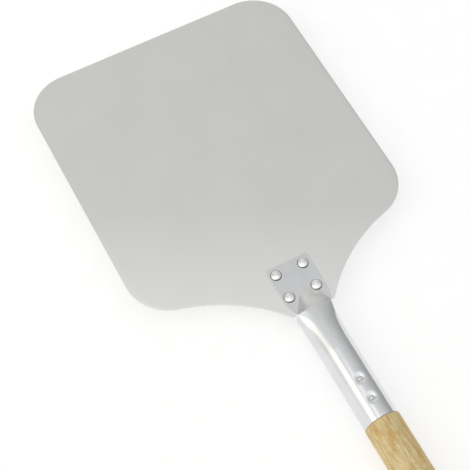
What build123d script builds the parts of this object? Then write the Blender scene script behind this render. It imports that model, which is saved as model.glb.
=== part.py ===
from build123d import *
from build123d.topology import SkipClean
import math
import os

# Pizza peel: a flat sheet blade, riveted to the flattened end of a tube socket that holds a wooden handle.
# Millimetres. The origin is the middle of the blade's square working face, which lies on Z = 0.
# +X points out over the front edge, +Y to the left and +Z up, so the handle runs along -X.

# Blade
BLADE_WIDTH = 305.0
BLADE_THICK = 1.5
FRONT_CORNER_R = 46.5
REAR_CORNER_R = 47.5
REAR_CORNER_TURN = 75.0
SIDE_END_X = -111.5
SWEEP_R = 182.5
NECK_END_X = -217.5
WORK_FACE_END_X = -160.0

# Socket: one sheet tube whose upper part is flattened into a tang
SHEET_THICK = 1.5
TUBE_RADIUS = 18.2
TUBE_AXIS_Z = -10.0
TUBE_END_X = -349.4
STRAIGHT_TUBE_X = -255.0
MOUTH_X = -218.5
MOUTH_CROWN_Z = 5.5
MOUTH_CORNER_Y = 18.8
MOUTH_BULGE = 1.4
LIP_FADE_DEG = 8.0
LIP_FADE_POWER = 3
WALL_STEPS = 12
FADE_STEPS = 6
TANG_FRONT_X = -161.0
TANG_WIDTH = 46.0
TANG_TAPER_X = -204.0
TANG_REAR_WIDTH = 39.0
TANG_CORNER_R = 1.0
FAN_APEX_X = -191.5

# Rivets that hold the tang down on the blade
RIVET_ROWS = {"front": -170.5, "rear": -198.0}
RIVET_SIDES = {"left": 16.4, "right": -14.0}
RIVET_SHANK_R = 3.0
RIVET_HEAD_R = 5.9
RIVET_HEAD_H = 2.6
RIVET_TAIL_R = 5.2
RIVET_TAIL_H = 1.6
RIVET_TAIL_ROUND = 0.6

# Pins that stake the tube to the handle, each at the bottom of a punched dimple
PIN_PLACES = {"front": -306.5, "rear": -328.5}
PIN_SHANK_R = 1.4
PIN_HEAD_R = 2.3
PIN_HEAD_H = 1.0
PIN_LENGTH = 22.0
PIN_TIP_H = 3.0
PIN_TIP_R = 0.3
DIMPLE_DEPTH = 1.3
DIMPLE_BALL_R = 14.5
SEAT_EXTRA_R = 0.1
HOLE_PLAY = 0.05

# Handle
HANDLE_RADIUS = 18.7
HANDLE_END_X = -761.5
TENON_START_X = -250.0
TENON_PLAY = 0.05
TENON_NOSE_LENGTH = 5.0
TENON_NOSE_DROP = 3.0
SHOULDER_GAP = 0.3
SHOULDER_ROUND = 0.8
HANDLE_END_ROUND = 14.0
HANG_HOLE_R = 4.0
HANG_HOLE_X = -739.0

tube_crown_z = TUBE_AXIS_Z + TUBE_RADIUS
corner_rise = SHEET_THICK - TUBE_AXIS_Z
corner_angle = math.degrees(math.atan2(MOUTH_CORNER_Y, corner_rise))
lip_reach = math.hypot(MOUTH_CORNER_Y, corner_rise) - TUBE_RADIUS
dimple_floor_z = tube_crown_z - DIMPLE_DEPTH
dimple_ball_z = dimple_floor_z + DIMPLE_BALL_R
shoulder_x = TUBE_END_X - SHOULDER_GAP
rivet_places = {
    f"{row}_{side}": (x, y) for row, x in RIVET_ROWS.items() for side, y in RIVET_SIDES.items()
}


def mouth_share(x):
    """How much of the mouth's shape is left at x: 1 at the mouth and 0 where the tube is round."""
    return ((x - STRAIGHT_TUBE_X) / (MOUTH_X - STRAIGHT_TUBE_X)) ** 2


def wall_point(angle, share, inset):
    """A point (y, z) of the tube's round wall, at an angle in degrees from straight up."""
    below_corner = angle - corner_angle
    lip = lip_reach * share**LIP_FADE_POWER * math.exp(-below_corner / LIP_FADE_DEG)
    bulge = MOUTH_BULGE * share * math.sin(math.pi * below_corner / (180 - corner_angle))
    reach = TUBE_RADIUS + lip + bulge - inset
    turn = math.radians(angle)
    return (reach * math.sin(turn), TUBE_AXIS_Z + reach * math.cos(turn))


def crown_point(share, inset):
    """The point (y, z) on top of the tube's wall."""
    return (0, tube_crown_z + share * (MOUTH_CROWN_Z - tube_crown_z) - inset)


def tube_section(x, inset):
    """The tube's section at x: a shallow arch between two corners, and the round wall below them."""
    share = mouth_share(x)
    angles = [corner_angle + (180 - corner_angle) * step / WALL_STEPS for step in range(WALL_STEPS + 1)]
    right = [wall_point(angle, share, inset) for angle in angles]
    left = [(-y, z) for y, z in reversed(right[:-1])]
    with BuildSketch(Plane.YZ.offset(x)) as section:
        with BuildLine():
            ThreePointArc(left[-1], crown_point(share, inset), right[0])
            Spline(*right, *left)
        make_face()
    return section.sketch


def fan_section(inset):
    """The raised middle of the tang where it meets the mouth: an arch that stands on a flat base."""
    corner_y, corner_z = wall_point(corner_angle, 1, inset)
    with BuildSketch(Plane.YZ.offset(MOUTH_X)) as section:
        with BuildLine():
            arch = ThreePointArc((-corner_y, corner_z), crown_point(1, inset), (corner_y, corner_z))
            if inset > 0:
                base_z = SHEET_THICK - inset
                Polyline(arch @ 1, (corner_y, base_z), (-corner_y, base_z), arch @ 0)
            else:
                Line(arch @ 1, arch @ 0)
        make_face()
    return section.sketch


# Blade outline: half of it, mirrored. Behind the rear corner a wide hollow arc runs into the neck.
rear_corner_x = SIDE_END_X - REAR_CORNER_R * math.sin(math.radians(REAR_CORNER_TURN))
sweep_end_sine = math.sin(math.radians(REAR_CORNER_TURN)) - (rear_corner_x - NECK_END_X) / SWEEP_R
sweep_turn = REAR_CORNER_TURN - math.degrees(math.asin(sweep_end_sine))
with BuildSketch() as blade_outline:
    with BuildLine():
        front = Line((BLADE_WIDTH / 2, 0), (BLADE_WIDTH / 2, BLADE_WIDTH / 2 - FRONT_CORNER_R))
        front_corner = JernArc(front @ 1, (0, 1), FRONT_CORNER_R, 90)
        side = Line(front_corner @ 1, (SIDE_END_X, BLADE_WIDTH / 2))
        rear_corner = JernArc(side @ 1, (-1, 0), REAR_CORNER_R, REAR_CORNER_TURN)
        sweep = JernArc(rear_corner @ 1, rear_corner % 1, SWEEP_R, -sweep_turn)
        Line(sweep @ 1, (NECK_END_X, 0))
        mirror(about=Plane.XZ)
    make_face()

with BuildSketch(Plane.XY.offset(-BLADE_THICK)) as blade_front:
    add(blade_outline.sketch)
    split(bisect_by=Plane.YZ.offset(WORK_FACE_END_X), keep=Keep.TOP)

with BuildSketch(Plane.XY.offset(-BLADE_THICK)) as blade_neck:
    add(blade_outline.sketch)
    split(bisect_by=Plane.YZ.offset(WORK_FACE_END_X), keep=Keep.BOTTOM)
    with Locations(*rivet_places.values()):
        Circle(RIVET_SHANK_R + HOLE_PLAY, mode=Mode.SUBTRACT)

# The working face ends at its own edge, just ahead of the tang, so the blade's faces are not cleaned into one.
with SkipClean(), BuildPart() as blade:
    extrude(blade_front.sketch, amount=BLADE_THICK)
    extrude(blade_neck.sketch, amount=BLADE_THICK)

# Socket: the flat tang, the fan that rises out of it, and the tube
with BuildSketch() as tang_outline:
    with BuildLine():
        taper_start = (TANG_TAPER_X, TANG_WIDTH / 2)
        Polyline((TANG_FRONT_X, 0), (TANG_FRONT_X, TANG_WIDTH / 2), taper_start)
        tang_taper = TangentArc(taper_start, (MOUTH_X, TANG_REAR_WIDTH / 2), tangent=(-1, 0))
        Line(tang_taper @ 1, (MOUTH_X, 0))
        mirror(about=Plane.XZ)
    make_face()
    fillet(tang_outline.vertices().group_by(Axis.X)[-1].filter_by(lambda v: abs(v.Y) > 1), TANG_CORNER_R)
    with Locations(*rivet_places.values()):
        Circle(RIVET_SHANK_R + HOLE_PLAY, mode=Mode.SUBTRACT)

sections_x = [
    MOUTH_X + (STRAIGHT_TUBE_X - MOUTH_X) * step / FADE_STEPS for step in range(FADE_STEPS + 1)
]
outer_sections = [tube_section(x, 0) for x in sections_x]
inner_sections = [tube_section(x, SHEET_THICK) for x in sections_x]
fan_outside = fan_section(0)
fan_inside = fan_section(SHEET_THICK)
straight_length = STRAIGHT_TUBE_X - TUBE_END_X

with BuildPart() as tube_space:
    loft(inner_sections)
    extrude(inner_sections[-1], amount=-straight_length)
    for x in PIN_PLACES.values():
        with Locations((x, 0, dimple_ball_z)):
            Sphere(DIMPLE_BALL_R + SHEET_THICK, mode=Mode.SUBTRACT)

with BuildPart() as socket:
    loft(outer_sections)
    extrude(outer_sections[-1], amount=-straight_length)
    add(tube_space.part, mode=Mode.SUBTRACT)
    extrude(tang_outline.sketch, amount=SHEET_THICK)
    loft([Vertex(FAN_APEX_X, 0, SHEET_THICK), fan_outside])
    loft([Vertex(FAN_APEX_X, 0, 0), fan_inside], mode=Mode.SUBTRACT)
    for x in PIN_PLACES.values():
        with Locations((x, 0, dimple_ball_z)):
            Sphere(DIMPLE_BALL_R, mode=Mode.SUBTRACT)
        with BuildSketch(Plane.XY.offset(dimple_floor_z)):
            with Locations((x, 0)):
                Circle(PIN_HEAD_R + SEAT_EXTRA_R)
        extrude(amount=DIMPLE_DEPTH, mode=Mode.SUBTRACT)
        with BuildSketch(Plane.XY.offset(tube_crown_z)):
            with Locations((x, 0)):
                Circle(PIN_SHANK_R + HOLE_PLAY)
        extrude(amount=-TUBE_RADIUS / 2, mode=Mode.SUBTRACT)


def dome_middle(rim_r, height):
    """The point (radius, height above the rim) halfway along a shallow dome's arc, from its top to its rim."""
    ball_r = (rim_r**2 + height**2) / (2 * height)
    half_turn = math.asin(rim_r / ball_r) / 2
    return (ball_r * math.sin(half_turn), height - ball_r * (1 - math.cos(half_turn)))


def make_rivet(x, y):
    """A rivet with a domed head on the tang and a low formed tail under the blade."""
    head_top_z = SHEET_THICK + RIVET_HEAD_H
    tail_z = -BLADE_THICK - RIVET_TAIL_H
    dome_mid_r, dome_mid_h = dome_middle(RIVET_HEAD_R, RIVET_HEAD_H)
    dome_mid = (dome_mid_r, SHEET_THICK + dome_mid_h)
    with BuildPart() as rivet:
        with BuildSketch(Plane((x, y, 0), (1, 0, 0), (0, -1, 0))):
            with BuildLine():
                ThreePointArc((0, head_top_z), dome_mid, (RIVET_HEAD_R, SHEET_THICK))
                Polyline(
                    (RIVET_HEAD_R, SHEET_THICK),
                    (RIVET_SHANK_R, SHEET_THICK),
                    (RIVET_SHANK_R, -BLADE_THICK),
                    (RIVET_TAIL_R, -BLADE_THICK),
                    (RIVET_TAIL_R, tail_z),
                    (0, tail_z),
                    (0, head_top_z),
                )
            make_face()
        revolve(axis=Axis((x, y, 0), (0, 0, 1)))
        fillet(rivet.edges().group_by(Axis.Z)[0], RIVET_TAIL_ROUND)
    return rivet.part


def make_pin(x):
    """A pin with a low domed head, driven straight down into the handle's tenon."""
    head_top_z = dimple_floor_z + PIN_HEAD_H
    tip_z = dimple_floor_z - PIN_LENGTH
    dome_mid_r, dome_mid_h = dome_middle(PIN_HEAD_R, PIN_HEAD_H)
    dome_mid = (dome_mid_r, dimple_floor_z + dome_mid_h)
    with BuildPart() as pin:
        with BuildSketch(Plane((x, 0, 0), (1, 0, 0), (0, -1, 0))):
            with BuildLine():
                ThreePointArc((0, head_top_z), dome_mid, (PIN_HEAD_R, dimple_floor_z))
                Polyline(
                    (PIN_HEAD_R, dimple_floor_z),
                    (PIN_SHANK_R, dimple_floor_z),
                    (PIN_SHANK_R, tip_z + PIN_TIP_H),
                    (PIN_TIP_R, tip_z),
                    (0, tip_z),
                    (0, head_top_z),
                )
            make_face()
        revolve(axis=Axis((x, 0, 0), (0, 0, 1)))
    return pin.part


# Handle: a round bar with a turned-down tenon, which fills the tube
with BuildPart() as handle:
    with BuildSketch(Plane.YZ.offset(shoulder_x)):
        with Locations((0, TUBE_AXIS_Z)):
            Circle(HANDLE_RADIUS)
    extrude(amount=HANDLE_END_X - shoulder_x)
    fillet(handle.edges().filter_by(GeomType.CIRCLE).group_by(Axis.X)[-1], SHOULDER_ROUND)
    fillet(handle.edges().filter_by(GeomType.CIRCLE).group_by(Axis.X)[0], HANDLE_END_ROUND)
    with BuildSketch(Plane.YZ.offset(shoulder_x)):
        with Locations((0, TUBE_AXIS_Z)):
            Circle(TUBE_RADIUS - SHEET_THICK - TENON_PLAY)
    extrude(amount=TENON_START_X - shoulder_x)
    nose = handle.edges().filter_by(GeomType.CIRCLE).group_by(Axis.X)[-1]
    chamfer(nose, TENON_NOSE_LENGTH, TENON_NOSE_DROP)
    for x in PIN_PLACES.values():
        with Locations((x, 0, dimple_ball_z)):
            Sphere(DIMPLE_BALL_R + SHEET_THICK + TENON_PLAY, mode=Mode.SUBTRACT)
        with BuildSketch(Plane.XY.offset(tube_crown_z)):
            with Locations((x, 0)):
                Circle(PIN_SHANK_R + HOLE_PLAY)
        extrude(amount=-DIMPLE_DEPTH - PIN_LENGTH, mode=Mode.SUBTRACT)
    with BuildSketch(Plane.XY.offset(TUBE_AXIS_Z)):
        with Locations((HANG_HOLE_X, 0)):
            Circle(HANG_HOLE_R)
    extrude(amount=HANDLE_RADIUS, both=True, mode=Mode.SUBTRACT)

pieces = {"blade": blade.part, "socket": socket.part, "handle": handle.part}
for place, (x, y) in rivet_places.items():
    pieces[f"rivet_{place}"] = make_rivet(x, y)
for place, x in PIN_PLACES.items():
    pieces[f"pin_{place}"] = make_pin(x)

os.makedirs("parts", exist_ok=True)
for name, piece in pieces.items():
    piece.label = name
    export_step(piece, f"parts/{name}.step")
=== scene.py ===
import math

import bmesh
import bpy
from mathutils import Matrix, Vector, noise


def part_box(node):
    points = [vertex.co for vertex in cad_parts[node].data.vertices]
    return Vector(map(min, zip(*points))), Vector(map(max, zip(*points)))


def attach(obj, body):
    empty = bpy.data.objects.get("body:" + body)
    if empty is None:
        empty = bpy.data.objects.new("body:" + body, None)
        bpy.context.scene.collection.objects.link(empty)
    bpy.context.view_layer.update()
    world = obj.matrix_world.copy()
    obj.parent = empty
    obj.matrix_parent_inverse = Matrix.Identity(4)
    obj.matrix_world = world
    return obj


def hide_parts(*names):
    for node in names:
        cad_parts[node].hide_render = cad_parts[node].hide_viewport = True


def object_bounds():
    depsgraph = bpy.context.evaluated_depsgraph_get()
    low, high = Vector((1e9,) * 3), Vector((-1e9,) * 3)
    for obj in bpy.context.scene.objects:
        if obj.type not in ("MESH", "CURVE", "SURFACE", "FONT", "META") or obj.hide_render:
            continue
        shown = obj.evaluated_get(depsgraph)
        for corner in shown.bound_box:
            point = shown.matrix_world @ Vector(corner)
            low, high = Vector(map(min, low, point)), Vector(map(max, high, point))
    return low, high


# A pizza peel: a sheet aluminium blade, riveted to the flattened end of a tube that holds a wooden handle.
# Shapes are worked out in millimetres in the frame's axes (+X out over the blade's front edge, +Y left,
# +Z up) and become metres when a piece is made.

MM = 0.001

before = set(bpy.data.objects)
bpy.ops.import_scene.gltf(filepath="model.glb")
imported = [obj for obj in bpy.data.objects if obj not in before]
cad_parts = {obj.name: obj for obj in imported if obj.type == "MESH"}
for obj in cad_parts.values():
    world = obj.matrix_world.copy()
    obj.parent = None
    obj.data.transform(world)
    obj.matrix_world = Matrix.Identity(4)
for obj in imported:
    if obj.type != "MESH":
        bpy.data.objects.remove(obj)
cad_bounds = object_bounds()


def node_box(node):
    """A CAD node's lowest and highest corners, in millimetres."""
    low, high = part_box(node)
    return low / MM, high / MM


blade_low, blade_high = node_box("blade")
socket_low, socket_high = node_box("socket")
handle_low, handle_high = node_box("handle")

# Blade
FRONT_CORNER_R = 46.5
REAR_CORNER_R = 47.5
REAR_CORNER_TURN = 75.0
SIDE_END_X = -111.5
SWEEP_R = 182.5
BLADE_WAVE = 0.16
BLADE_WAVE_LENGTH = 120.0
BLADE_WAVE_SEED = 3.7
BLADE_FLAT_X = -140.0
BLADE_FREE_X = -80.0
BLADE_FLAT_Y = 40.0
BLADE_FREE_Y = 110.0
BLADE_SIDE_WAVE = 0.6
BLADE_COLUMNS = 64
BLADE_SIDE_STEP = 5.0
BLADE_CUT_Z = (-5.0, 5.0)

# Socket
SHEET_THICK = 1.5
EDGE_ROUND = 0.25
EDGE_TURNS = (25, 50, 75, 105, 130, 155)
EDGE_MITRE_LIMIT = 0.7
EDGE_TOP_WEAR = 0.6
TUBE_RADIUS = 18.2
TUBE_AXIS_Z = -10.0
STRAIGHT_TUBE_X = -268.0
MOUTH_FADE_POWER = 1.15
MOUTH_X = -218.5
MOUTH_CROWN_Z = 5.5
MOUTH_CORNER_Y = 18.8
MOUTH_BULGE = 1.4
LIP_FADE_DEG = 8.0
LIP_FADE_POWER = 3
TANG_CORNER_R = 1.0
TANG_TAPER_X = -204.0
TANG_REAR_WIDTH = 39.0
EAR_OUT = 0.7
EAR_LENGTH = 1.3
TANG_WAVE = 0.05
TANG_WAVE_LENGTH = 14.0
TANG_WAVE_SEED = 8.1
TANG_WAVE_RUN = 8.0
ARCH_COLUMNS = 80
WALL_COLUMNS = 96
TANG_CORNER_TURNS = (0, 18, 36, 54, 72)
TANG_STEP = 1.2
FAN_STEP = 0.5
FAN_STEP_LEAD = 3.0
MOUTH_ROW_GAP = 0.3
MOUTH_STEP = 0.7
TUBE_STEP = 3.0
DIMPLE_STEP = 0.7
TUBE_END_STEP = 2.0
TANG_CUT_Z = (-1.0, 5.0)
TUBE_CUT_Z = (0.0, 12.0)

# The fan that rises out of the tang: sharp on its left side, soft on its right
FAN_TIP_X = -193.5
FAN_TIP_LEFT = 2.0
FAN_TIP_RIGHT = -14.5
FAN_TIP_SLANT = 0.20
FAN_LEFT_FLANK = 9.5
FAN_EVEN_SHARE = 0.7
FAN_START_SLOPE = 0.5
FAN_END_SLOPE = 0.6
FAN_RIGHT_SOFTNESS = 0.8
FAN_SOFT_ACROSS = (0.45, 0.9)
CREASE_ROUND = 0.10
CREASE_ACROSS = (0.3, 0.7)
TINY = 1e-6

# The ridge that a hammer left on the tang, seen from the middle of the rear right rivet
RIDGE_HEIGHT = 0.42
RIDGE_REACH = 8.2
RIDGE_WIDTH = 0.7
RIDGE_DIRECTION = 152.0
RIDGE_SPREAD = 0.36

# Dimples, rivets, pins
DIMPLE_FLAT_R = 1.6
DIMPLE_RIM_R = 7.3
DIMPLE_DEPTH = 1.6
HOLE_PLAY = 0.05
RIVET_SHANK_R = 3.0
RIVET_RIM_H = 0.7
RIVET_RIM_ROUND = 1.0
RIVET_RIM_SQUASH = 0.7
RIVET_RIM_START = 30
RIVET_RIM_LIFT = 0.134
RIVET_RIM_TURNS = (30, 50, 70, 90)
RIVET_DOME_STEPS = 18
RIVET_TAIL_INSET = 0.7
RIVET_TAIL_ROUND = 0.6
RIVET_TAIL_TURNS = (0, 22, 45, 67, 90)
RIVET_TAIL_FLAT = 0.6
RIVET_COLUMNS = 56
HEAD_PLAIN_H = 0.3
HEAD_PRESS = 0.06
HEAD_FLAT_DEPTH = 0.16
HEAD_FLAT_LENGTH = 3.2
HEAD_FLAT_SEED = 5.3
HEAD_FLAT_LIMIT = -0.6
TAIL_PLAIN_H = 0.2
TAIL_DENT_DEPTH = 0.08
TAIL_DENT_LENGTH = 2.5
TAIL_DENT_SEED = 2.9
PIN_SHANK_R = 1.4
PIN_DOME_STEPS = 10
PIN_RIM_H = 0.25
PIN_RIM_INSET = 0.1
PIN_FOOT_H = 0.12
PIN_TIP_H = 3.0
PIN_TIP_ROUND = 0.1
PIN_TIP_R = 0.35
PIN_COLUMNS = 40
# The head's lower edge and the tail's upper one, as (distance from the sheet, distance inside the rim)
RIVET_HEAD_FOOT = ((0.25, 0.0), (0.06, 0.08), (0.0, 0.3))
RIVET_TAIL_TOP = ((0.0, 0.3), (0.1, 0.05), (0.3, 0.0))
RIVET_PLACES = ("front_left", "front_right", "rear_left", "rear_right")
PIN_PLACES = ("front", "rear")

# Handle
HANDLE_RADIUS = 18.7
SHOULDER_X = -349.7
SHOULDER_ROUND = 0.9
HANDLE_END_ROUND = 14.0
TENON_R = 16.65
TENON_NOSE_LENGTH = 5.0
TENON_NOSE_DROP = 3.0
TENON_SKIN = 0.1
TENON_STEP = 8.0
TENON_DIMPLE_STEP = 0.8
TENON_REAR_STEP = 4.0
HANDLE_STEP = 6.0
HANDLE_END_FLAT_R = 2.0
HANDLE_WAVE = 0.05
HANDLE_WAVE_STRETCH = 4
HANDLE_WAVE_LENGTH = 16.0
HANDLE_WAVE_SEED = 1.9
HANG_HOLE_X = -739.0
HANG_HOLE_R = 4.0
HANG_HOLE_FLARE = 0.9
HANG_HOLE_FLARE_H = 1.6
HANG_HOLE_FLARE_STEPS = 4
HANG_HOLE_MOUTH = 1.9
HANG_HOLE_COLUMNS = 48
HANDLE_COLUMNS = 96
CUTTER_COLUMNS = 40

# Colours
SHEET_DARK = (0.728, 0.732, 0.714)
SHEET_LIGHT = (0.766, 0.770, 0.754)
# Painted light: the paler grey the blade turns towards its rear left
SHEET_REAR_PAINTED_LIGHT = (0.855, 0.86, 0.835)
SHEET_RIM = (0.62, 0.62, 0.615)
TUBE_DARK = (0.715, 0.723, 0.732)
TUBE_LIGHT = (0.765, 0.772, 0.78)
RIVET_DARK = (0.86, 0.86, 0.855)
RIVET_LIGHT = (0.92, 0.92, 0.915)
# Painted shade: the near-black band round the foot of the rivets' heads
RIVET_FOOT_PAINTED_SHADE = (0.09, 0.09, 0.088)
PIN_DARK = (0.60, 0.60, 0.60)
PIN_LIGHT = (0.76, 0.76, 0.755)
WOOD_PALE_DARK = (0.515, 0.37, 0.155)
WOOD_PALE_LIGHT = (0.92, 0.765, 0.44)
WOOD_WARM_DARK = (0.47, 0.272, 0.064)
WOOD_WARM_LIGHT = (0.74, 0.49, 0.15)
WOOD_LATE = (0.46, 0.30, 0.11)
WOOD_PORE = (0.25, 0.16, 0.075)
PAPER_DARK = (0.49, 0.49, 0.49)
PAPER_LIGHT = (0.51, 0.51, 0.51)

# Material measures, in metres
PAINTED_LIGHT_REAR_START = 0.09
PAINTED_LIGHT_REAR_END = 0.215
WOOD_PITH = (0, 0.052, 0.075)
WOOD_RINGS_PER_METRE = 290.0
WOOD_RING_SWAY = 0.011

# Studio. The floor's reach and the camera's places are in metres, the floor's middle, the lens and the
# sensor in millimetres, and the roll in degrees.
FLOOR_GLOW = 0.56
FLOOR_REACH = 15.0
FLOOR_CELLS = 24
FLOOR_MIDDLE_X = -200
CAMERA_SENSOR = 36.0
CAMERA_LENS = 104.6
CAMERA_PLACE = (-0.71707, 0.33358, 1.19553)
CAMERA_AIM = (-0.10977, 0.03013, 0.0)
CAMERA_ROLL = -1.4026

tube_crown_z = TUBE_AXIS_Z + TUBE_RADIUS
corner_angle = math.degrees(math.atan2(MOUTH_CORNER_Y, SHEET_THICK - TUBE_AXIS_Z))
lip_reach = math.hypot(MOUTH_CORNER_Y, SHEET_THICK - TUBE_AXIS_Z) - TUBE_RADIUS


def node_middle(node):
    """The middle (x, y) of a CAD node, in millimetres."""
    low, high = node_box(node)
    return ((low.x + high.x) / 2, (low.y + high.y) / 2)


rivet_middles = {place: node_middle(f"rivet_{place}") for place in RIVET_PLACES}
pin_middles = {place: node_middle(f"pin_{place}") for place in PIN_PLACES}


def smooth_step(low, high, value):
    """0 below low and 1 above high, with a smooth rise between them."""
    share = min(max((value - low) / (high - low), 0.0), 1.0)
    return share * share * (3 - 2 * share)


def wave(x, y, z, length, seed):
    """Smooth noise from -1 to 1 with bumps about as long as length."""
    return noise.noise(Vector((x / length, y / length + seed, z / length - seed)))


def spread(start, end, step):
    """Numbers from start up to but not including end, about step apart."""
    count = max(1, round(abs(end - start) / step))
    return [start + (end - start) * index / count for index in range(count)]


# --------------------------------------------------------------------------------------------------
# Sheet metal and revolved pieces


def rim_direction(vert):
    """The direction in the sheet that points out over its free edge at a vertex."""
    outs = []
    for edge in vert.link_edges:
        if not edge.is_boundary:
            continue
        face = edge.link_faces[0]
        along = (edge.verts[1].co - edge.verts[0].co).normalized()
        out = along.cross(face.normal)
        middle = (edge.verts[0].co + edge.verts[1].co) / 2
        if out.dot(middle - face.calc_center_median()) < 0:
            out.negate()
        outs.append(out)
    direction = sum(outs, Vector()).normalized()
    return direction / max(direction.dot(outs[0]), EDGE_MITRE_LIMIT)


def sheet_metal(top, bottom, quads):
    """A sheet between upper and lower points in the same order, with a rounded rim round its free edges."""
    bm = bmesh.new()
    rim_layer = bm.verts.layers.float.new("rim")
    top_verts = [bm.verts.new(point) for point in top]
    for quad in quads:
        bm.faces.new([top_verts[index] for index in quad])
    bm.normal_update()
    free_edges = [edge for edge in bm.edges if edge.is_boundary]
    free_pairs = []
    for edge in free_edges:
        loop = edge.link_loops[0]
        free_pairs.append((loop.vert, loop.link_loop_next.vert))
    outs = {vert: rim_direction(vert) for vert in top_verts if vert.is_boundary}
    bottom_verts = [bm.verts.new(point) for point in bottom]
    for quad in quads:
        bm.faces.new([bottom_verts[index] for index in reversed(quad)])
    below = dict(zip(top_verts, bottom_verts))
    ladders = {}
    for vert, out in outs.items():
        depth = below[vert].co - vert.co
        down = depth.normalized()
        rungs = [vert]
        for turn in EDGE_TURNS:
            angle = math.radians(turn)
            drop = EDGE_ROUND * (1 - math.cos(angle))
            if turn > 90:
                drop = depth.length - EDGE_ROUND * (1 + math.cos(angle))
            rung = bm.verts.new(vert.co + out * EDGE_ROUND * math.sin(angle) + down * drop)
            rung[rim_layer] = 1.0
            rungs.append(rung)
        rungs.append(below[vert])
        vert[rim_layer] = EDGE_TOP_WEAR
        ladders[vert] = rungs
    for first, second in free_pairs:
        for a, b, c, d in zip(ladders[second], ladders[first], ladders[first][1:], ladders[second][1:]):
            bm.faces.new((a, b, c, d))
    return bm


def revolved(profile, columns, place):
    """A closed solid turned round an axis. The profile runs (along, radius) from one end on the axis to the
    other, and place(along, radius, angle) gives each point."""
    bm = bmesh.new()
    rings = []
    for along, radius in profile:
        if radius == 0:
            rings.append([bm.verts.new(place(along, 0, 0))])
        else:
            turns = [2 * math.pi * column / columns for column in range(columns)]
            rings.append([bm.verts.new(place(along, radius, turn)) for turn in turns])
    for ring, following in zip(rings, rings[1:]):
        for column in range(columns):
            beside = (column + 1) % columns
            if len(ring) == 1:
                bm.faces.new((ring[0], following[beside], following[column]))
            elif len(following) == 1:
                bm.faces.new((ring[column], ring[beside], following[0]))
            else:
                bm.faces.new((ring[column], ring[beside], following[beside], following[column]))
    bmesh.ops.recalc_face_normals(bm, faces=bm.faces)
    return bm


def arc(centre, radius, start, end, steps):
    """Points along an arc between two angles in degrees."""
    angles = [math.radians(start + (end - start) * step / steps) for step in range(steps + 1)]
    return [(centre[0] + radius * math.cos(a), centre[1] + radius * math.sin(a)) for a in angles]


def upright(x, y):
    """Places a revolved point round a vertical line."""
    return lambda along, radius, turn: (x + radius * math.cos(turn), y + radius * math.sin(turn), along)


def add_object(name, bm):
    """An object in metres from a bmesh in millimetres."""
    bm.transform(Matrix.Scale(MM, 4))
    mesh = bpy.data.meshes.new(name)
    bm.to_mesh(mesh)
    bm.free()
    mesh.shade_smooth()
    made = bpy.data.objects.new(name, mesh)
    bpy.context.scene.collection.objects.link(made)
    return made


def cut(piece, cutters):
    """Cut closed shapes, given as bmeshes, out of a piece."""
    for number, shape in enumerate(cutters):
        cutter = add_object(f"cutter_{number}", shape)
        modifier = piece.modifiers.new("cut", "BOOLEAN")
        modifier.operation = "DIFFERENCE"
        modifier.solver = "EXACT"
        modifier.object = cutter
        bpy.context.view_layer.update()
        evaluated = piece.evaluated_get(bpy.context.evaluated_depsgraph_get())
        mesh = bpy.data.meshes.new_from_object(evaluated)
        piece.modifiers.clear()
        piece.data = mesh
        bpy.data.objects.remove(cutter)


def finish_piece(piece, material, node):
    """Give a piece its material and its place in the frame's table."""
    piece.data.materials.clear()
    piece.data.materials.append(material)
    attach(piece, "root")
    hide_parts(node)


def hole_cutter(x, y, radius, low, high):
    """An upright cylinder to cut a hole with."""
    return revolved([(low, 0), (low, radius), (high, radius), (high, 0)], CUTTER_COLUMNS, upright(x, y))


# --------------------------------------------------------------------------------------------------
# Blade


def blade_side():
    """The left half of the blade's outline, from its front edge to the neck's end, inside the edge round."""
    inset = EDGE_ROUND
    front_x = blade_high.x - inset
    side_y = blade_high.y - inset
    front_r = FRONT_CORNER_R - inset
    rear_r = REAR_CORNER_R - inset
    sweep_r = SWEEP_R + inset
    rear_end = 90 + REAR_CORNER_TURN
    neck_x = blade_low.x + inset
    rear_centre = (SIDE_END_X, side_y - rear_r)
    corner_end = arc(rear_centre, rear_r, rear_end, rear_end, 1)[0]
    turn = math.radians(rear_end)
    sweep_centre = (corner_end[0] + sweep_r * math.cos(turn), corner_end[1] + sweep_r * math.sin(turn))
    sweep_start = rear_end + 180
    sweep_end = 180 + math.degrees(math.acos((sweep_centre[0] - neck_x) / sweep_r))
    side_start = front_x - front_r
    points = arc((side_start, side_y - front_r), front_r, 0, 90, 40)
    points += [(x, side_y) for x in spread(side_start, SIDE_END_X, BLADE_SIDE_STEP)[1:]]
    points += arc(rear_centre, rear_r, 90, rear_end, 36)
    points += arc(sweep_centre, sweep_r, sweep_start, sweep_end, 48)[1:]
    return points


def blade_height(x, y):
    """The slight unevenness of the rolled sheet, none under the tang."""
    free = smooth_step(BLADE_FLAT_X, BLADE_FREE_X, x)
    free += BLADE_SIDE_WAVE * smooth_step(BLADE_FLAT_Y, BLADE_FREE_Y, abs(y))
    return BLADE_WAVE * min(free, 1.0) * wave(x, y, 0, BLADE_WAVE_LENGTH, BLADE_WAVE_SEED)


def make_blade(material):
    """The blade, with its four rivet holes."""
    top = []
    for x, half_width in blade_side():
        for column in range(BLADE_COLUMNS + 1):
            y = half_width * (1 - 2 * column / BLADE_COLUMNS)
            top.append((x, y, blade_height(x, y)))
    bottom = [(x, y, z + blade_low.z) for x, y, z in top]
    row_length = BLADE_COLUMNS + 1
    quads = []
    for row in range(len(top) // row_length - 1):
        for column in range(BLADE_COLUMNS):
            corner = row * row_length + column
            quads.append((corner, corner + row_length, corner + row_length + 1, corner + 1))
    blade = add_object("peel_blade", sheet_metal(top, bottom, quads))
    hole_r = RIVET_SHANK_R + HOLE_PLAY
    cut(blade, [hole_cutter(x, y, hole_r, *BLADE_CUT_Z) for x, y in rivet_middles.values()])
    finish_piece(blade, material, "blade")


# --------------------------------------------------------------------------------------------------
# Socket


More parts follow.
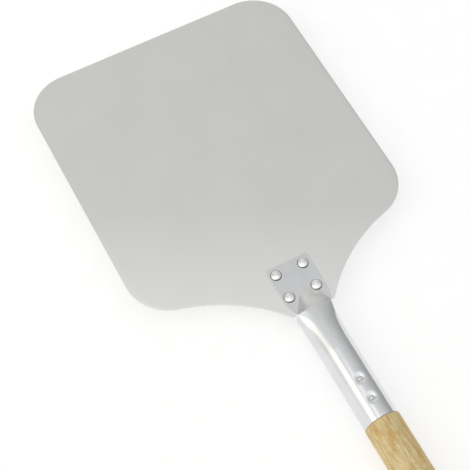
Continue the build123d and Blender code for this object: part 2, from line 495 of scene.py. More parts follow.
def mouth_share(x):
    """How much of the mouth's shape is left at x: 1 at the mouth and 0 where the tube is round."""
    if x < STRAIGHT_TUBE_X:
        return 0.0
    return min((x - STRAIGHT_TUBE_X) / (MOUTH_X - STRAIGHT_TUBE_X), 1.0) ** MOUTH_FADE_POWER


def wall_point(x, angle, inset):
    """A point (y, z) of the tube's round wall at x, at an angle in degrees from straight up."""
    share = mouth_share(x)
    below_corner = angle - corner_angle
    lip = lip_reach * share**LIP_FADE_POWER * math.exp(-below_corner / LIP_FADE_DEG)
    bulge = MOUTH_BULGE * share**2 * math.sin(math.pi * below_corner / (180 - corner_angle))
    reach = TUBE_RADIUS + lip + bulge - inset
    turn = math.radians(angle)
    return (reach * math.sin(turn), TUBE_AXIS_Z + reach * math.cos(turn))


def arch_of(x, inset):
    """The arch on top of the tube at x: its corner (y, z), radius and half angle."""
    corner_y, corner_z = wall_point(x, corner_angle, inset)
    crown_z = tube_crown_z + mouth_share(x) * (MOUTH_CROWN_Z - tube_crown_z) - inset
    rise = crown_z - corner_z
    radius = (corner_y**2 + rise**2) / (2 * rise)
    return corner_y, corner_z, radius, math.asin(min(corner_y / radius, 1.0))


def dimple_share(x, y):
    """1 on a dimple's flat floor, 0 outside its rim."""
    distances = [math.hypot(x - px, y - py) for px, py in pin_middles.values()]
    return 1 - smooth_step(DIMPLE_FLAT_R, DIMPLE_RIM_R, min(distances))


def dimpled(x, y, z, crown_z):
    """A wall point pressed down towards a dimple's flat floor."""
    if z < TUBE_AXIS_Z:
        return z
    share = dimple_share(x, y)
    return z + share * (crown_z - DIMPLE_DEPTH - z)


def tube_ring(x, inset):
    """One ring of the tube's wall: the arch from its left corner to its right, then the wall round below."""
    _, corner_z, radius, half_angle = arch_of(x, inset)
    points = []
    for column in range(ARCH_COLUMNS + 1):
        turn = half_angle * (1 - 2 * column / ARCH_COLUMNS)
        points.append((radius * math.sin(turn), corner_z + radius * (math.cos(turn) - math.cos(half_angle))))
    for column in range(1, WALL_COLUMNS):
        angle = corner_angle + (360 - 2 * corner_angle) * column / WALL_COLUMNS
        if angle <= 180:
            y, z = wall_point(x, angle, inset)
            points.append((-y, z))
        else:
            points.append(wall_point(x, 360 - angle, inset))
    return [(x, y, dimpled(x, y, z, tube_crown_z - inset)) for y, z in points]


def tang_half_width(x, side):
    """The tang's half width at x, inside the edge round; side is 1 on the left and -1 on the right."""
    half = (socket_high.y - socket_low.y) / 2
    run = TANG_TAPER_X - x
    if run > 0:
        full_run = TANG_TAPER_X - MOUTH_X
        drop = half - TANG_REAR_WIDTH / 2
        taper_r = (full_run**2 + drop**2) / (2 * drop)
        half -= taper_r - math.sqrt(taper_r**2 - run**2)
    from_front = socket_high.x - EDGE_ROUND - x
    if from_front < TANG_CORNER_R:
        half -= TANG_CORNER_R - math.sqrt(TANG_CORNER_R**2 - (TANG_CORNER_R - from_front) ** 2)
    if side < 0:
        half += EAR_OUT * math.exp(-(((x - MOUTH_X - EAR_LENGTH) / EAR_LENGTH) ** 2))
    return half - EDGE_ROUND


def fan_across(y, share, corner_y):
    """Where y lies from the fan's right edge (0) to its left (1), and the power that moves its ridge."""
    left = FAN_TIP_LEFT + share * (corner_y - FAN_TIP_LEFT)
    right = FAN_TIP_RIGHT - share * (corner_y + FAN_TIP_RIGHT)
    across = max((y - right) / (left - right), 0.0)
    ridge = 1 - FAN_LEFT_FLANK / (left - right)
    ridge = 0.5 + (ridge - 0.5) * smooth_step(0, FAN_EVEN_SHARE, 1 - share)
    return across, math.log(0.5) / math.log(ridge)


def fan_rise(share):
    """The share of its height that the fan has reached: 0 at its tip and 1 at the mouth, with set slopes."""
    rise = (FAN_START_SLOPE + FAN_END_SLOPE - 2) * share**3
    rise += (3 - 2 * FAN_START_SLOPE - FAN_END_SLOPE) * share**2
    rise += FAN_START_SLOPE * share
    return rise


def fan_height(x, y, mouth_row_x):
    """How far the fan stands up from the tang."""
    tip_x = FAN_TIP_X + FAN_TIP_SLANT * min(y - FAN_TIP_LEFT, 0)
    share = (tip_x - x) / (tip_x - mouth_row_x)
    if share <= 0:
        return 0.0
    corner_y, _, radius, half_angle = arch_of(mouth_row_x, 0)
    across, lean = fan_across(y, share, corner_y)
    arch_y = corner_y * (2 * across**lean - 1)
    arch_z = math.sqrt(max(radius**2 - arch_y**2, 0.0)) - radius * math.cos(half_angle)
    height = fan_rise(share) * arch_z
    softness = FAN_RIGHT_SOFTNESS * (1 - share) * (1 - smooth_step(*FAN_SOFT_ACROSS, across))
    height *= max(height, 0.0) / (max(height, 0.0) + softness + TINY)
    crease = CREASE_ROUND * smooth_step(*CREASE_ACROSS, across)
    return (height + math.sqrt(height**2 + crease**2)) / 2


def ridge_height(x, y):
    """The short ridge that a hammer left behind the rear right rivet."""
    rivet_x, rivet_y = rivet_middles["rear_right"]
    reach = math.hypot(x - rivet_x, y - rivet_y)
    turn = math.atan2(y - rivet_y, x - rivet_x) - math.radians(RIDGE_DIRECTION)
    turn = math.atan2(math.sin(turn), math.cos(turn))
    off_reach = (reach - RIDGE_REACH) / RIDGE_WIDTH
    off_turn = turn / RIDGE_SPREAD
    return RIDGE_HEIGHT * math.exp(-(off_reach**2) - off_turn**2)


def tang_row(x, mouth_row_x):
    """One row of points across the tang's upper face, from left to right."""
    half_angle = arch_of(mouth_row_x, 0)[3]
    points = []
    for column in range(ARCH_COLUMNS + 1):
        share = math.sin(half_angle * (1 - 2 * column / ARCH_COLUMNS)) / math.sin(half_angle)
        y = share * tang_half_width(x, share)
        uneven = TANG_WAVE * wave(x, y, 0, TANG_WAVE_LENGTH, TANG_WAVE_SEED)
        uneven *= smooth_step(MOUTH_X, MOUTH_X + TANG_WAVE_RUN, x)
        z = SHEET_THICK + fan_height(x, y, mouth_row_x) + ridge_height(x, y) + uneven
        points.append((x, y, z))
    return points


def dimple_range():
    """The x at which the fine rows over the dimples start and end."""
    dimples = sorted(x for x, _ in pin_middles.values())
    return dimples[-1] + DIMPLE_RIM_R + 1, dimples[0] - DIMPLE_RIM_R - 1


def socket_stations():
    """The x of every row: those on the tang, and those on the tube from the mouth's row back."""
    front = socket_high.x - EDGE_ROUND
    tang = [front - TANG_CORNER_R * (1 - math.cos(math.radians(turn))) for turn in TANG_CORNER_TURNS]
    tang += spread(front - TANG_CORNER_R, FAN_TIP_X + FAN_STEP_LEAD, TANG_STEP)
    tang += spread(FAN_TIP_X + FAN_STEP_LEAD, MOUTH_X + MOUTH_ROW_GAP, FAN_STEP)
    mouth_row_x = MOUTH_X - EDGE_ROUND
    fine_start, fine_end = dimple_range()
    tube = spread(mouth_row_x, STRAIGHT_TUBE_X, MOUTH_STEP)
    tube += spread(STRAIGHT_TUBE_X, fine_start, TUBE_STEP)
    tube += spread(fine_start, fine_end, DIMPLE_STEP)
    tube += spread(fine_end, socket_low.x + EDGE_ROUND, TUBE_END_STEP)
    tube.append(socket_low.x + EDGE_ROUND)
    return tang, tube


def socket_points(tang, tube):
    """The socket's upper points, its lower points, and each row's range in both lists."""
    top = []
    bottom = []
    rows = []
    for x in tang:
        row = tang_row(x, tube[0])
        rows.append(range(len(top), len(top) + len(row)))
        top += row
        bottom += [(x, y, z - SHEET_THICK) for x, y, z in row]
    for x in tube:
        ring = tube_ring(x, 0)
        rows.append(range(len(top), len(top) + len(ring)))
        top += ring
        bottom += tube_ring(x, SHEET_THICK)
    return top, bottom, rows


def make_socket(material):
    """The socket, with its holes for the rivets and the pins."""
    top, bottom, rows = socket_points(*socket_stations())
    quads = []
    for ahead, behind in zip(rows, rows[1:]):
        closed = len(ahead) > ARCH_COLUMNS + 1
        for column in range(len(ahead) if closed else ARCH_COLUMNS):
            beside = (column + 1) % len(ahead)
            quads.append((ahead[column], behind[column], behind[beside], ahead[beside]))
    socket = add_object("peel_socket", sheet_metal(top, bottom, quads))
    rivet_hole_r = RIVET_SHANK_R + HOLE_PLAY
    pin_hole_r = PIN_SHANK_R + HOLE_PLAY
    cutters = [hole_cutter(x, y, rivet_hole_r, *TANG_CUT_Z) for x, y in rivet_middles.values()]
    cutters += [hole_cutter(x, y, pin_hole_r, *TUBE_CUT_Z) for x, y in pin_middles.values()]
    cut(socket, cutters)
    finish_piece(socket, material, "socket")


# --------------------------------------------------------------------------------------------------
# Rivets and pins


def head_profile(low_z, high_z, head_r):
    """The rivet's head as (z, radius), from the top of its dome to the shank."""
    shoulder_r = head_r - RIVET_RIM_ROUND
    dome_h = high_z - low_z - RIVET_RIM_H - RIVET_RIM_ROUND * RIVET_RIM_SQUASH
    dome_r = (shoulder_r**2 + dome_h**2) / (2 * dome_h)
    dome_turn = math.degrees(math.asin(shoulder_r / dome_r))
    profile = [(high_z, 0)]
    for step in range(1, RIVET_DOME_STEPS + 1):
        turn = math.radians(dome_turn * step / RIVET_DOME_STEPS)
        profile.append((high_z - dome_r * (1 - math.cos(turn)), dome_r * math.sin(turn)))
    for turn in RIVET_RIM_TURNS:
        angle = math.radians(turn)
        fall = math.cos(angle) - math.cos(math.radians(RIVET_RIM_START)) + RIVET_RIM_LIFT
        along = low_z + RIVET_RIM_H + RIVET_RIM_ROUND * RIVET_RIM_SQUASH * fall
        profile.append((along, shoulder_r + RIVET_RIM_ROUND * math.sin(angle)))
    profile += [(low_z + up, head_r - inward) for up, inward in RIVET_HEAD_FOOT]
    profile.append((low_z, RIVET_SHANK_R))
    return profile


def tail_profile(low_z, high_z, tail_r):
    """The rivet's tail as (z, radius), from the shank to the middle of its underside."""
    profile = [(high_z, RIVET_SHANK_R)]
    profile += [(high_z - down, tail_r - inward) for down, inward in RIVET_TAIL_TOP]
    for turn in RIVET_TAIL_TURNS:
        angle = math.radians(turn)
        along = low_z + RIVET_TAIL_ROUND * (1 - math.sin(angle))
        profile.append((along, tail_r - RIVET_TAIL_ROUND * (1 - math.cos(angle))))
    profile += [(low_z, tail_r * RIVET_TAIL_FLAT), (low_z, 0)]
    return profile


def hammer(point, along, rim_share, number):
    """Press a rivet's point in a little, as hammering left it: the head in flats, the tail unevenly."""
    if along > SHEET_THICK + HEAD_PLAIN_H:
        place = Vector((point.x / HEAD_FLAT_LENGTH, point.y / HEAD_FLAT_LENGTH, number * HEAD_FLAT_SEED))
        flat = HEAD_FLAT_DEPTH * max(noise.noise(place), HEAD_FLAT_LIMIT)
        point.z -= HEAD_PRESS + flat * (1 - rim_share**4)
    if along < blade_low.z - TAIL_PLAIN_H:
        place = Vector((point.x / TAIL_DENT_LENGTH, point.y / TAIL_DENT_LENGTH, number * TAIL_DENT_SEED))
        point.z += TAIL_DENT_DEPTH * abs(noise.noise(place))


def make_rivet(place, number, material):
    """A hammered rivet: a domed head, the shank through both sheets, and a low formed tail underneath."""
    low, high = node_box(f"rivet_{place}")
    x, y = rivet_middles[place]
    head_r = (high.x - low.x) / 2
    profile = head_profile(SHEET_THICK, high.z, head_r)
    profile += tail_profile(low.z, blade_low.z, head_r - RIVET_TAIL_INSET)

    def place_point(along, radius, turn):
        point = Vector((radius * math.cos(turn), radius * math.sin(turn), along))
        hammer(point, along, radius / head_r, number)
        return (x + point.x, y + point.y, point.z)

    rivet = add_object(f"peel_rivet_{place}", revolved(profile, RIVET_COLUMNS, place_point))
    finish_piece(rivet, material, f"rivet_{place}")


def make_pin(place, material):
    """A pin whose small domed head sits on a dimple's floor."""
    low, high = node_box(f"pin_{place}")
    x, y = pin_middles[place]
    head_r = (high.x - low.x) / 2
    floor_z = tube_crown_z - DIMPLE_DEPTH
    head_h = high.z - floor_z
    rim_r = head_r - PIN_RIM_INSET
    profile = [(high.z, 0)]
    for step in range(1, PIN_DOME_STEPS + 1):
        angle = math.radians(90 * step / PIN_DOME_STEPS)
        along = floor_z + PIN_RIM_H + (head_h - PIN_RIM_H) * math.cos(angle)
        profile.append((along, rim_r * math.sin(angle)))
    profile += [(floor_z + PIN_FOOT_H, head_r), (floor_z, rim_r), (floor_z, PIN_SHANK_R)]
    profile += [(low.z + PIN_TIP_H, PIN_SHANK_R), (low.z + PIN_TIP_ROUND, PIN_TIP_R), (low.z, 0)]
    pin = add_object(f"peel_pin_{place}", revolved(profile, PIN_COLUMNS, upright(x, y)))
    finish_piece(pin, material, f"pin_{place}")


# --------------------------------------------------------------------------------------------------
# Handle


def handle_profile():
    """(x, radius) from the tenon's nose to the middle of the rounded end."""
    nose_x = handle_high.x
    end_x = handle_low.x
    fine_start, fine_end = dimple_range()
    profile = [(nose_x, 0), (nose_x, TENON_R - TENON_NOSE_DROP)]
    profile += [(x, TENON_R) for x in spread(nose_x - TENON_NOSE_LENGTH, fine_start, TENON_STEP)]
    profile += [(x, TENON_R) for x in spread(fine_start, fine_end, TENON_DIMPLE_STEP)]
    profile += [(x, TENON_R) for x in spread(fine_end, SHOULDER_X, TENON_REAR_STEP)]
    profile.append((SHOULDER_X, TENON_R))
    for turn in range(0, 91, 15):
        angle = math.radians(turn)
        radius = HANDLE_RADIUS - SHOULDER_ROUND * (1 - math.sin(angle))
        profile.append((SHOULDER_X - SHOULDER_ROUND * (1 - math.cos(angle)), radius))
    round_start = end_x + HANDLE_END_ROUND
    bar = spread(SHOULDER_X - SHOULDER_ROUND, round_start, HANDLE_STEP)[1:]
    profile += [(x, HANDLE_RADIUS) for x in bar]
    for turn in range(0, 91, 6):
        angle = math.radians(turn)
        along = round_start - HANDLE_END_ROUND * math.sin(angle)
        profile.append((along, HANDLE_RADIUS - HANDLE_END_ROUND * (1 - math.cos(angle))))
    profile += [(end_x, HANDLE_END_FLAT_R), (end_x, 0)]
    return profile


def handle_point(along, radius, turn):
    """A point on the handle, slightly uneven as a sanded bar is, and pressed in under the tube's dimples."""
    if along < SHOULDER_X:
        place = (along / HANDLE_WAVE_STRETCH, radius * math.cos(turn), radius * math.sin(turn))
        radius -= HANDLE_WAVE + HANDLE_WAVE * wave(*place, HANDLE_WAVE_LENGTH, HANDLE_WAVE_SEED)
    y = max(radius, 0) * math.sin(turn)
    z = TUBE_AXIS_Z + max(radius, 0) * math.cos(turn)
    if along > SHOULDER_X and radius > TENON_R - TENON_SKIN:
        z = dimpled(along, y, z, TUBE_AXIS_Z + TENON_R)
    return (along, y, z)


def hang_hole_cutter():
    """An upright cutter for the hanging hole, with flared ends that ease its rims."""
    reach = HANDLE_RADIUS + 1
    flare_start = HANDLE_RADIUS - HANG_HOLE_FLARE_H
    half = [(reach, 0), (reach, HANG_HOLE_R + HANG_HOLE_FLARE * HANG_HOLE_MOUTH)]
    for step in range(HANG_HOLE_FLARE_STEPS + 1):
        share = step / HANG_HOLE_FLARE_STEPS
        height = HANDLE_RADIUS - (HANDLE_RADIUS - flare_start) * share
        half.append((height, HANG_HOLE_R + HANG_HOLE_FLARE * (1 - share) ** 2))
    profile = [(TUBE_AXIS_Z + z, r) for z, r in half]
    profile += [(TUBE_AXIS_Z - z, r) for z, r in reversed(half)]
    return revolved(profile, HANG_HOLE_COLUMNS, upright(HANG_HOLE_X, 0))


def make_handle(material):
    """The handle, with its hanging hole and its holes for the pins."""
    handle = add_object("peel_handle", revolved(handle_profile(), HANDLE_COLUMNS, handle_point))
    cutters = [hang_hole_cutter()]
    for place, (x, y) in pin_middles.items():
        low = node_box(f"pin_{place}")[0]
        cutters.append(hole_cutter(x, y, PIN_SHANK_R + HOLE_PLAY, low.z - 1, TUBE_CUT_Z[1]))
    cut(handle, cutters)
    finish_piece(handle, material, "handle")


# --------------------------------------------------------------------------------------------------
# Materials. The sizes of their grain and the depths of their bumps are in millimetres.


def new_material(name, **sockets):
    """A material with one Principled shader: its tree and shader."""
    material = bpy.data.materials.new(name)
    material.use_nodes = True
    tree = material.node_tree
    tree.nodes.clear()
    output = tree.nodes.new("ShaderNodeOutputMaterial")
    shader = tree.nodes.new("ShaderNodeBsdfPrincipled")
    tree.links.new(shader.outputs["BSDF"], output.inputs["Surface"])
    for key, value in sockets.items():
        shader.inputs[key.replace("_", " ")].default_value = value
    return material, tree, shader


def add_node(tree, kind, sockets=None, **settings):
    """A node with its settings made, and its sockets set or linked."""
    node = tree.nodes.new(kind)
    for key, value in settings.items():
        setattr(node, key, value)
    for key, value in (sockets or {}).items():
        if isinstance(value, bpy.types.NodeSocket):
            tree.links.new(value, node.inputs[key])
        else:
            node.inputs[key].default_value = value
    return node


def grain(tree, size, turn=0.0, detail=2.0, roughness=0.5, distortion=0.0):
    """Noise whose bumps have the given size (x, y, z), turned by an angle in degrees about Z."""
    place = add_node(tree, "ShaderNodeTexCoord").outputs["Object"]
    turned = add_node(tree, "ShaderNodeMapping", {"Vector": place, "Rotation": (0, 0, math.radians(turn))})
    scale = tuple(1 / (side * MM) for side in size)
    sized = add_node(tree, "ShaderNodeMapping", {"Vector": turned.outputs["Vector"], "Scale": scale})
    sockets = {
        "Vector": sized.outputs["Vector"],
        "Scale": 1.0,
        "Detail": detail,
        "Roughness": roughness,
        "Distortion": distortion,
    }
    return add_node(tree, "ShaderNodeTexNoise", sockets, normalize=True).outputs["Fac"]


def remap(tree, value, low, high, new_low, new_high):
    """A value stretched from one range to another, kept inside it."""
    sockets = {"Value": value, "From Min": low, "From Max": high, "To Min": new_low, "To Max": new_high}
    return add_node(tree, "ShaderNodeMapRange", sockets, clamp=True).outputs["Result"]


def math_node(tree, operation, first, second):
    """A sum, product or other operation on two values."""
    node = add_node(tree, "ShaderNodeMath", operation=operation)
    for index, value in enumerate((first, second)):
        if isinstance(value, bpy.types.NodeSocket):
            tree.links.new(value, node.inputs[index])
        else:
            node.inputs[index].default_value = value
    return node.outputs["Value"]


def total(tree, values):
    """The sum of several values."""
    result = values[0]
    for value in values[1:]:
        result = math_node(tree, "ADD", result, value)
    return result


def blend_colour(tree, factor, first, second):
    """Two colours blended by a factor."""
    node = add_node(tree, "ShaderNodeMix", data_type="RGBA")
    pairs = {0: factor, 6: first, 7: second}
    for index, value in pairs.items():
        if isinstance(value, bpy.types.NodeSocket):
            tree.links.new(value, node.inputs[index])
        else:
            node.inputs[index].default_value = value if index == 0 else (*value, 1.0)
    return node.outputs[2]


def ramp(tree, value, stops):
    """A colour ramp over (position, colour) stops."""
    node = add_node(tree, "ShaderNodeValToRGB", {"Fac": value})
    elements = node.color_ramp.elements
    while len(elements) < len(stops):
        elements.new(0.5)
    for element, (position, colour) in zip(elements, stops):
        element.position = position
        element.color = (*colour, 1.0)
    return node.outputs["Color"]


def bump(tree, height, strength, depth, under=None):
    """A bump whose full height is depth millimetres."""
    sockets = {"Height": height, "Strength": strength, "Distance": depth * MM}
    if under is not None:
        sockets["Normal"] = under
    return add_node(tree, "ShaderNodeBump", sockets).outputs["Normal"]


def scratches(tree, turns, length, width, rarity):
    """Sparse hairlines that run at several angles."""
    lines = []
    for turn in turns:
        streaks = grain(tree, (length, width, width * 8), turn=turn, detail=1.0)
        lines.append(remap(tree, streaks, rarity, rarity + 0.05, 0.0, 1.0))
    return total(tree, lines)


def blade_material():
    """Rolled sheet: satin, with painted light that makes its colour paler to the rear left, fine streaks,
    faint clouds and hairline scuffs.
    """
    material, tree, shader = new_material("rolled_aluminium", Metallic=1.0)
    streaks = grain(tree, (60, 0.45, 3), detail=3.0, roughness=0.6)
    crossing = grain(tree, (1.6, 0.7, 3), detail=2.0)
    clouds = grain(tree, (70, 45, 40), detail=3.0, roughness=0.55, distortion=0.4)
    scuffs = scratches(tree, (14, -37, 63, 98), 42, 0.22, 0.735)
    tone = total(tree, [remap(tree, streaks, 0.3, 0.7, 0.0, 0.5), remap(tree, clouds, 0.3, 0.7, 0.0, 0.5)])
    colour = ramp(tree, tone, [(0.0, SHEET_DARK), (1.0, SHEET_LIGHT)])
    # Painted light: the colour is blended towards a paler grey to the rear left, standing in for the brighter
    # reflection there.
    place = add_node(tree, "ShaderNodeTexCoord").outputs["Object"]
    parts = add_node(tree, "ShaderNodeSeparateXYZ", {"Vector": place})
    half_left = math_node(tree, "MULTIPLY", parts.outputs["Y"], 0.5)
    rearward = math_node(tree, "SUBTRACT", half_left, parts.outputs["X"])
    painted_rear_light = remap(tree, rearward, PAINTED_LIGHT_REAR_START, PAINTED_LIGHT_REAR_END, 0.0, 1.0)
    colour = blend_colour(tree, painted_rear_light, colour, SHEET_REAR_PAINTED_LIGHT)
    rim = add_node(tree, "ShaderNodeAttribute", attribute_name="rim").outputs["Fac"]
    worn = remap(tree, rim, 0.3, 1.0, 0.0, 0.55)
    colour = blend_colour(tree, worn, colour, SHEET_RIM)
    tree.links.new(colour, shader.inputs["Base Color"])
    satin = remap(tree, streaks, 0.25, 0.75, 0.33, 0.41)
    smears = remap(tree, clouds, 0.35, 0.65, -0.02, 0.03)
    polish = math_node(tree, "MULTIPLY", scuffs, -0.06)
    tree.links.new(total(tree, [satin, smears, polish]), shader.inputs["Roughness"])
    relief = total(tree, [streaks, math_node(tree, "MULTIPLY", crossing, 0.6)])
    normal = bump(tree, relief, 0.5, 0.006)
    normal = bump(tree, scuffs, 0.25, 0.01, normal)
    tree.links.new(normal, shader.inputs["Normal"])
    return material


def tube_material():
    """Drawn tube: glossy, with fine draw lines along it, handling haze and small nicks."""
    material, tree, shader = new_material("drawn_aluminium", Metallic=1.0)
    lines = grain(tree, (90, 0.5, 0.5), detail=3.0, roughness=0.6)
    haze = grain(tree, (22, 14, 14), detail=3.0, roughness=0.6, distortion=0.5)
    pits = grain(tree, (0.9, 0.9, 0.9), detail=2.0)
    nicks = scratches(tree, (8, -24, 71), 9, 0.16, 0.745)
    colour = ramp(tree, haze, [(0.3, TUBE_DARK), (0.7, TUBE_LIGHT)])
    tree.links.new(colour, shader.inputs["Base Color"])
    drawn = remap(tree, lines, 0.3, 0.7, 0.12, 0.17)
    handled = remap(tree, haze, 0.4, 0.7, 0.0, 0.05)
    rough_nicks = math_node(tree, "MULTIPLY", nicks, 0.1)
    tree.links.new(total(tree, [drawn, handled, rough_nicks]), shader.inputs["Roughness"])
    relief = total(tree, [lines, math_node(tree, "MULTIPLY", pits, 0.25)])
    normal = bump(tree, relief, 0.35, 0.006)
    normal = bump(tree, nicks, 0.3, 0.02, normal)
    tree.links.new(normal, shader.inputs["Normal"])
    return material


def rivet_material():
    """Solid aluminium rivets, hammered: a burnished top with fine dents, and painted shade, near black, round
    the foot of each head on the tang.
    """
    material, tree, shader = new_material("hammered_aluminium", Metallic=1.0)
    dents = grain(tree, (1.7, 1.7, 1.7), detail=2.0)
    fine = grain(tree, (0.3, 0.3, 0.3), detail=2.0)
    colour = ramp(tree, dents, [(0.3, RIVET_DARK), (0.7, RIVET_LIGHT)])
    # Painted shade: a near-black band round the foot of each head, just above the tang, where shade falls
    # between head and sheet.
    height = add_node(tree, "ShaderNodeTexCoord").outputs["Object"]
    height = add_node(tree, "ShaderNodeSeparateXYZ", {"Vector": height}).outputs["Z"]
    painted_foot_shade = remap(tree, height, (SHEET_THICK + 0.75) * MM, (SHEET_THICK + 1.25) * MM, 1.0, 0.0)
    shade_above_sheet = remap(tree, height, (SHEET_THICK - 0.3) * MM, (SHEET_THICK - 0.1) * MM, 0.0, 0.85)
    colour = blend_colour(tree, math_node(tree, "MULTIPLY", painted_foot_shade, shade_above_sheet), colour, RIVET_FOOT_PAINTED_SHADE)
    tree.links.new(colour, shader.inputs["Base Color"])
    tree.links.new(remap(tree, fine, 0.3, 0.7, 0.30, 0.38), shader.inputs["Roughness"])
    normal = bump(tree, dents, 0.5, 0.10)
    normal = bump(tree, fine, 0.3, 0.01, normal)
    tree.links.new(normal, shader.inputs["Normal"])
    return material


def pin_material():
    """Small steel pins, darker than the aluminium, with dull tool marks all over."""
    material, tree, shader = new_material("pin_steel", Metallic=1.0)
    marks = grain(tree, (0.5, 0.5, 0.5), detail=3.0)
    colour = ramp(tree, marks, [(0.3, PIN_DARK), (0.7, PIN_LIGHT)])
    tree.links.new(colour, shader.inputs["Base Color"])
    tree.links.new(remap(tree, marks, 0.3, 0.7, 0.22, 0.4), shader.inputs["Roughness"])
    tree.links.new(bump(tree, marks, 0.5, 0.05), shader.inputs["Normal"])
    return material


def wood_material():
    """Straight-grained hardwood, sanded and unvarnished: growth bands, fibres, pores and warm patches."""
    material, tree, shader = new_material("handle_wood_grain")
    place = add_node(tree, "ShaderNodeTexCoord").outputs["Object"]
    pith = add_node(tree, "ShaderNodeMapping", {"Vector": place, "Location": WOOD_PITH})
    sway = grain(tree, (170, 26, 26), detail=2.0)
    parts = add_node(tree, "ShaderNodeSeparateXYZ", {"Vector": pith.outputs["Vector"]})
    across = math_node(tree, "POWER", parts.outputs["Y"], 2.0)
    upward = math_node(tree, "POWER", parts.outputs["Z"], 2.0)
    radius = math_node(tree, "SQRT", math_node(tree, "ADD", across, upward), 0.0)
    shifted = math_node(tree, "ADD", radius, math_node(tree, "MULTIPLY", sway, WOOD_RING_SWAY))
    rings = math_node(tree, "MULTIPLY", shifted, WOOD_RINGS_PER_METRE)
    phase = math_node(tree, "FRACT", rings, 0.0)
    ring_shades = [(0.0, 0), (0.62, 0.45), (0.9, 1), (1.0, 0)]
    late = ramp(tree, phase, [(position, (shade, shade, shade)) for position, shade in ring_shades])
    fibres = grain(tree, (13, 0.65, 0.65), detail=4.0, roughness=0.7)
    threads = grain(tree, (9, 0.22, 0.22), detail=2.0)
    patches = grain(tree, (20, 5.5, 5.5), detail=4.0, roughness=0.65, distortion=0.6)
    pores = remap(tree, grain(tree, (3.6, 0.42, 0.42), detail=1.0), 0.61, 0.70, 0.0, 1.0)
    pale = ramp(tree, fibres, [(0.34, WOOD_PALE_DARK), (0.66, WOOD_PALE_LIGHT)])
    warm = ramp(tree, threads, [(0.35, WOOD_WARM_DARK), (0.65, WOOD_WARM_LIGHT)])
    colour = blend_colour(tree, remap(tree, patches, 0.47, 0.62, 0.0, 0.85), pale, warm)
    colour = blend_colour(tree, math_node(tree, "MULTIPLY", late, 0.42), colour, WOOD_LATE)
    colour = blend_colour(tree, math_node(tree, "MULTIPLY", pores, 0.62), colour, WOOD_PORE)
    tree.links.new(colour, shader.inputs["Base Color"])
    tree.links.new(remap(tree, fibres, 0.3, 0.7, 0.62, 0.46), shader.inputs["Roughness"])
    raised = math_node(tree, "MULTIPLY", threads, 0.5)
    sunk = math_node(tree, "MULTIPLY", pores, -0.8)
    relief = total(tree, [fibres, raised, sunk])
    tree.links.new(bump(tree, relief, 0.6, 0.12), shader.inputs["Normal"])
    return material


def floor_material():
    """A plain pale surface that glows softly, as a product table lit from below does."""
    material, tree, shader = new_material("studio_paper")
    shader.inputs["Emission Color"].default_value = (1.0, 1.0, 1.0, 1.0)
    shader.inputs["Emission Strength"].default_value = FLOOR_GLOW
    mottle = grain(tree, (30, 30, 30), detail=3.0)
    colour = ramp(tree, mottle, [(0.3, PAPER_DARK), (0.7, PAPER_LIGHT)])
    tree.links.new(colour, shader.inputs["Base Color"])
    tree.links.new(remap(tree, mottle, 0.3, 0.7, 0.85, 0.95), shader.inputs["Roughness"])
    return material


# --------------------------------------------------------------------------------------------------
# Studio


def make_floor():
    """A wide floor under the handle."""
    low = cad_bounds[0]
    bm = bmesh.new()
    bmesh.ops.create_grid(bm, x_segments=FLOOR_CELLS, y_segments=FLOOR_CELLS, size=FLOOR_REACH / MM)
    bmesh.ops.translate(bm, verts=bm.verts, vec=(FLOOR_MIDDLE_X, 0, low.z / MM))
    floor = add_object("studio_floor", bm)
    floor.data.materials.append(floor_material())


def add_softbox(name, towards, distance, size, radiance, colour):
    """A soft rectangular light in the given direction from the socket's mouth, facing it."""
    light = bpy.data.lights.new(name, "AREA")
    light.shape = "RECTANGLE"
    light.size, light.size_y = size
    light.energy = radiance * math.pi * size[0] * size[1]
    light.color = colour
    lamp = bpy.data.objects.new(name, light)
    bpy.context.scene.collection.objects.link(lamp)
    direction = Vector(towards).normalized()
    target = Vector((MOUTH_X * MM, 0, 0))
    lamp.location = target + direction * distance
    across = Vector((1, 0, 0))
    across = (across - across.dot(direction) * direction).normalized()
    lamp.matrix_world = Matrix.Translation(lamp.location) @ Matrix(
        (across, direction.cross(across), direction)
    ).transposed().to_4x4()


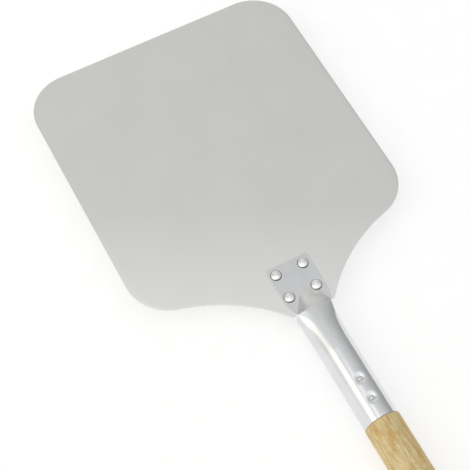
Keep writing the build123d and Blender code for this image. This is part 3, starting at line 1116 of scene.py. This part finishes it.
def make_world():
    """A soft grey room: brightest up on the left, with paler patches overhead, at the rear and far ahead,
    and dimmer straight behind and ahead on the left. A direction's parts run from -1 to 1."""
    world = bpy.data.worlds.new("studio_room")
    bpy.context.scene.world = world
    world.use_nodes = True
    tree = world.node_tree
    tree.nodes.clear()
    output = tree.nodes.new("ShaderNodeOutputWorld")
    background = tree.nodes.new("ShaderNodeBackground")
    tree.links.new(background.outputs["Background"], output.inputs["Surface"])
    direction = add_node(tree, "ShaderNodeTexCoord").outputs["Generated"]
    parts = add_node(tree, "ShaderNodeSeparateXYZ", {"Vector": direction})
    leftward = math_node(tree, "MULTIPLY", parts.outputs["Y"], 0.766)
    upward = math_node(tree, "MULTIPLY", parts.outputs["Z"], 0.643)
    towards_key = math_node(tree, "ADD", leftward, upward)
    room = remap(tree, towards_key, -0.75, 1.0, 0.39, 0.93)
    not_ahead = remap(tree, parts.outputs["X"], 0.27, 0.37, 1.0, 0.0)
    overhead = remap(tree, towards_key, -0.3, 0.7, 0.0, 0.14)
    overhead = math_node(tree, "MULTIPLY", overhead, not_ahead)
    high_up = remap(tree, parts.outputs["Z"], 0.5, 0.75, 0.0, 1.0)
    rear = remap(tree, parts.outputs["X"], -0.2, 0.05, 0.27, 0.0)
    rear = math_node(tree, "MULTIPLY", rear, high_up)
    ahead = remap(tree, parts.outputs["X"], 0.62, 0.80, 0.0, 0.19)
    room = total(tree, [room, overhead, rear, ahead])
    behind = remap(tree, parts.outputs["X"], -0.75, -0.5, 0.45, 1.0)
    front = remap(tree, parts.outputs["X"], 0.42, 0.62, 0.0, 1.0)
    left = remap(tree, parts.outputs["Y"], -0.1, 0.22, 0.0, 1.0)
    flag = remap(tree, math_node(tree, "MULTIPLY", front, left), 0.0, 1.0, 1.0, 0.6)
    room = math_node(tree, "MULTIPLY", math_node(tree, "MULTIPLY", room, behind), flag)
    tree.links.new(room, background.inputs["Strength"])
    warmth = remap(tree, parts.outputs["X"], 0.46, 0.68, 0.0, 1.0)
    tint = blend_colour(tree, warmth, (0.985, 0.995, 1.0), (1.0, 0.985, 0.93))
    tree.links.new(tint, background.inputs["Color"])


def make_lights():
    """A large warm key light up on the left, and a fainter, cooler one overhead."""
    key = {"towards": (0.0, 0.75, 0.662), "distance": 2.2, "size": (1.9, 1.15)}
    top = {"towards": (-0.09, 0.21, 0.974), "distance": 2.4, "size": (2.0, 0.66)}
    add_softbox("key_light", **key, radiance=0.54, colour=(1.0, 0.96, 0.64))
    add_softbox("top_light", **top, radiance=0.30, colour=(0.98, 0.99, 1.0))


def make_camera():
    """A long lens from up behind the handle's left side."""
    data = bpy.data.cameras.new("camera")
    data.sensor_width = CAMERA_SENSOR
    data.lens = CAMERA_LENS
    data.clip_start = 0.05
    data.clip_end = 50.0
    camera = bpy.data.objects.new("camera", data)
    bpy.context.scene.collection.objects.link(camera)
    location = Vector(CAMERA_PLACE)
    aim = Vector(CAMERA_AIM)
    roll = math.radians(CAMERA_ROLL)
    turned = (aim - location).to_track_quat("-Z", "Y").to_matrix() @ Matrix.Rotation(roll, 3, "Z")
    camera.matrix_world = Matrix.Translation(location) @ turned.to_4x4()
    bpy.context.scene.camera = camera
    bpy.context.scene.view_settings.view_transform = "Standard"


make_camera()
make_blade(blade_material())
make_socket(tube_material())
make_handle(wood_material())
rivet_finish = rivet_material()
pin_finish = pin_material()
for number, place in enumerate(RIVET_PLACES):
    make_rivet(place, number, rivet_finish)
for place in PIN_PLACES:
    make_pin(place, pin_finish)
make_floor()
make_world()
make_lights()
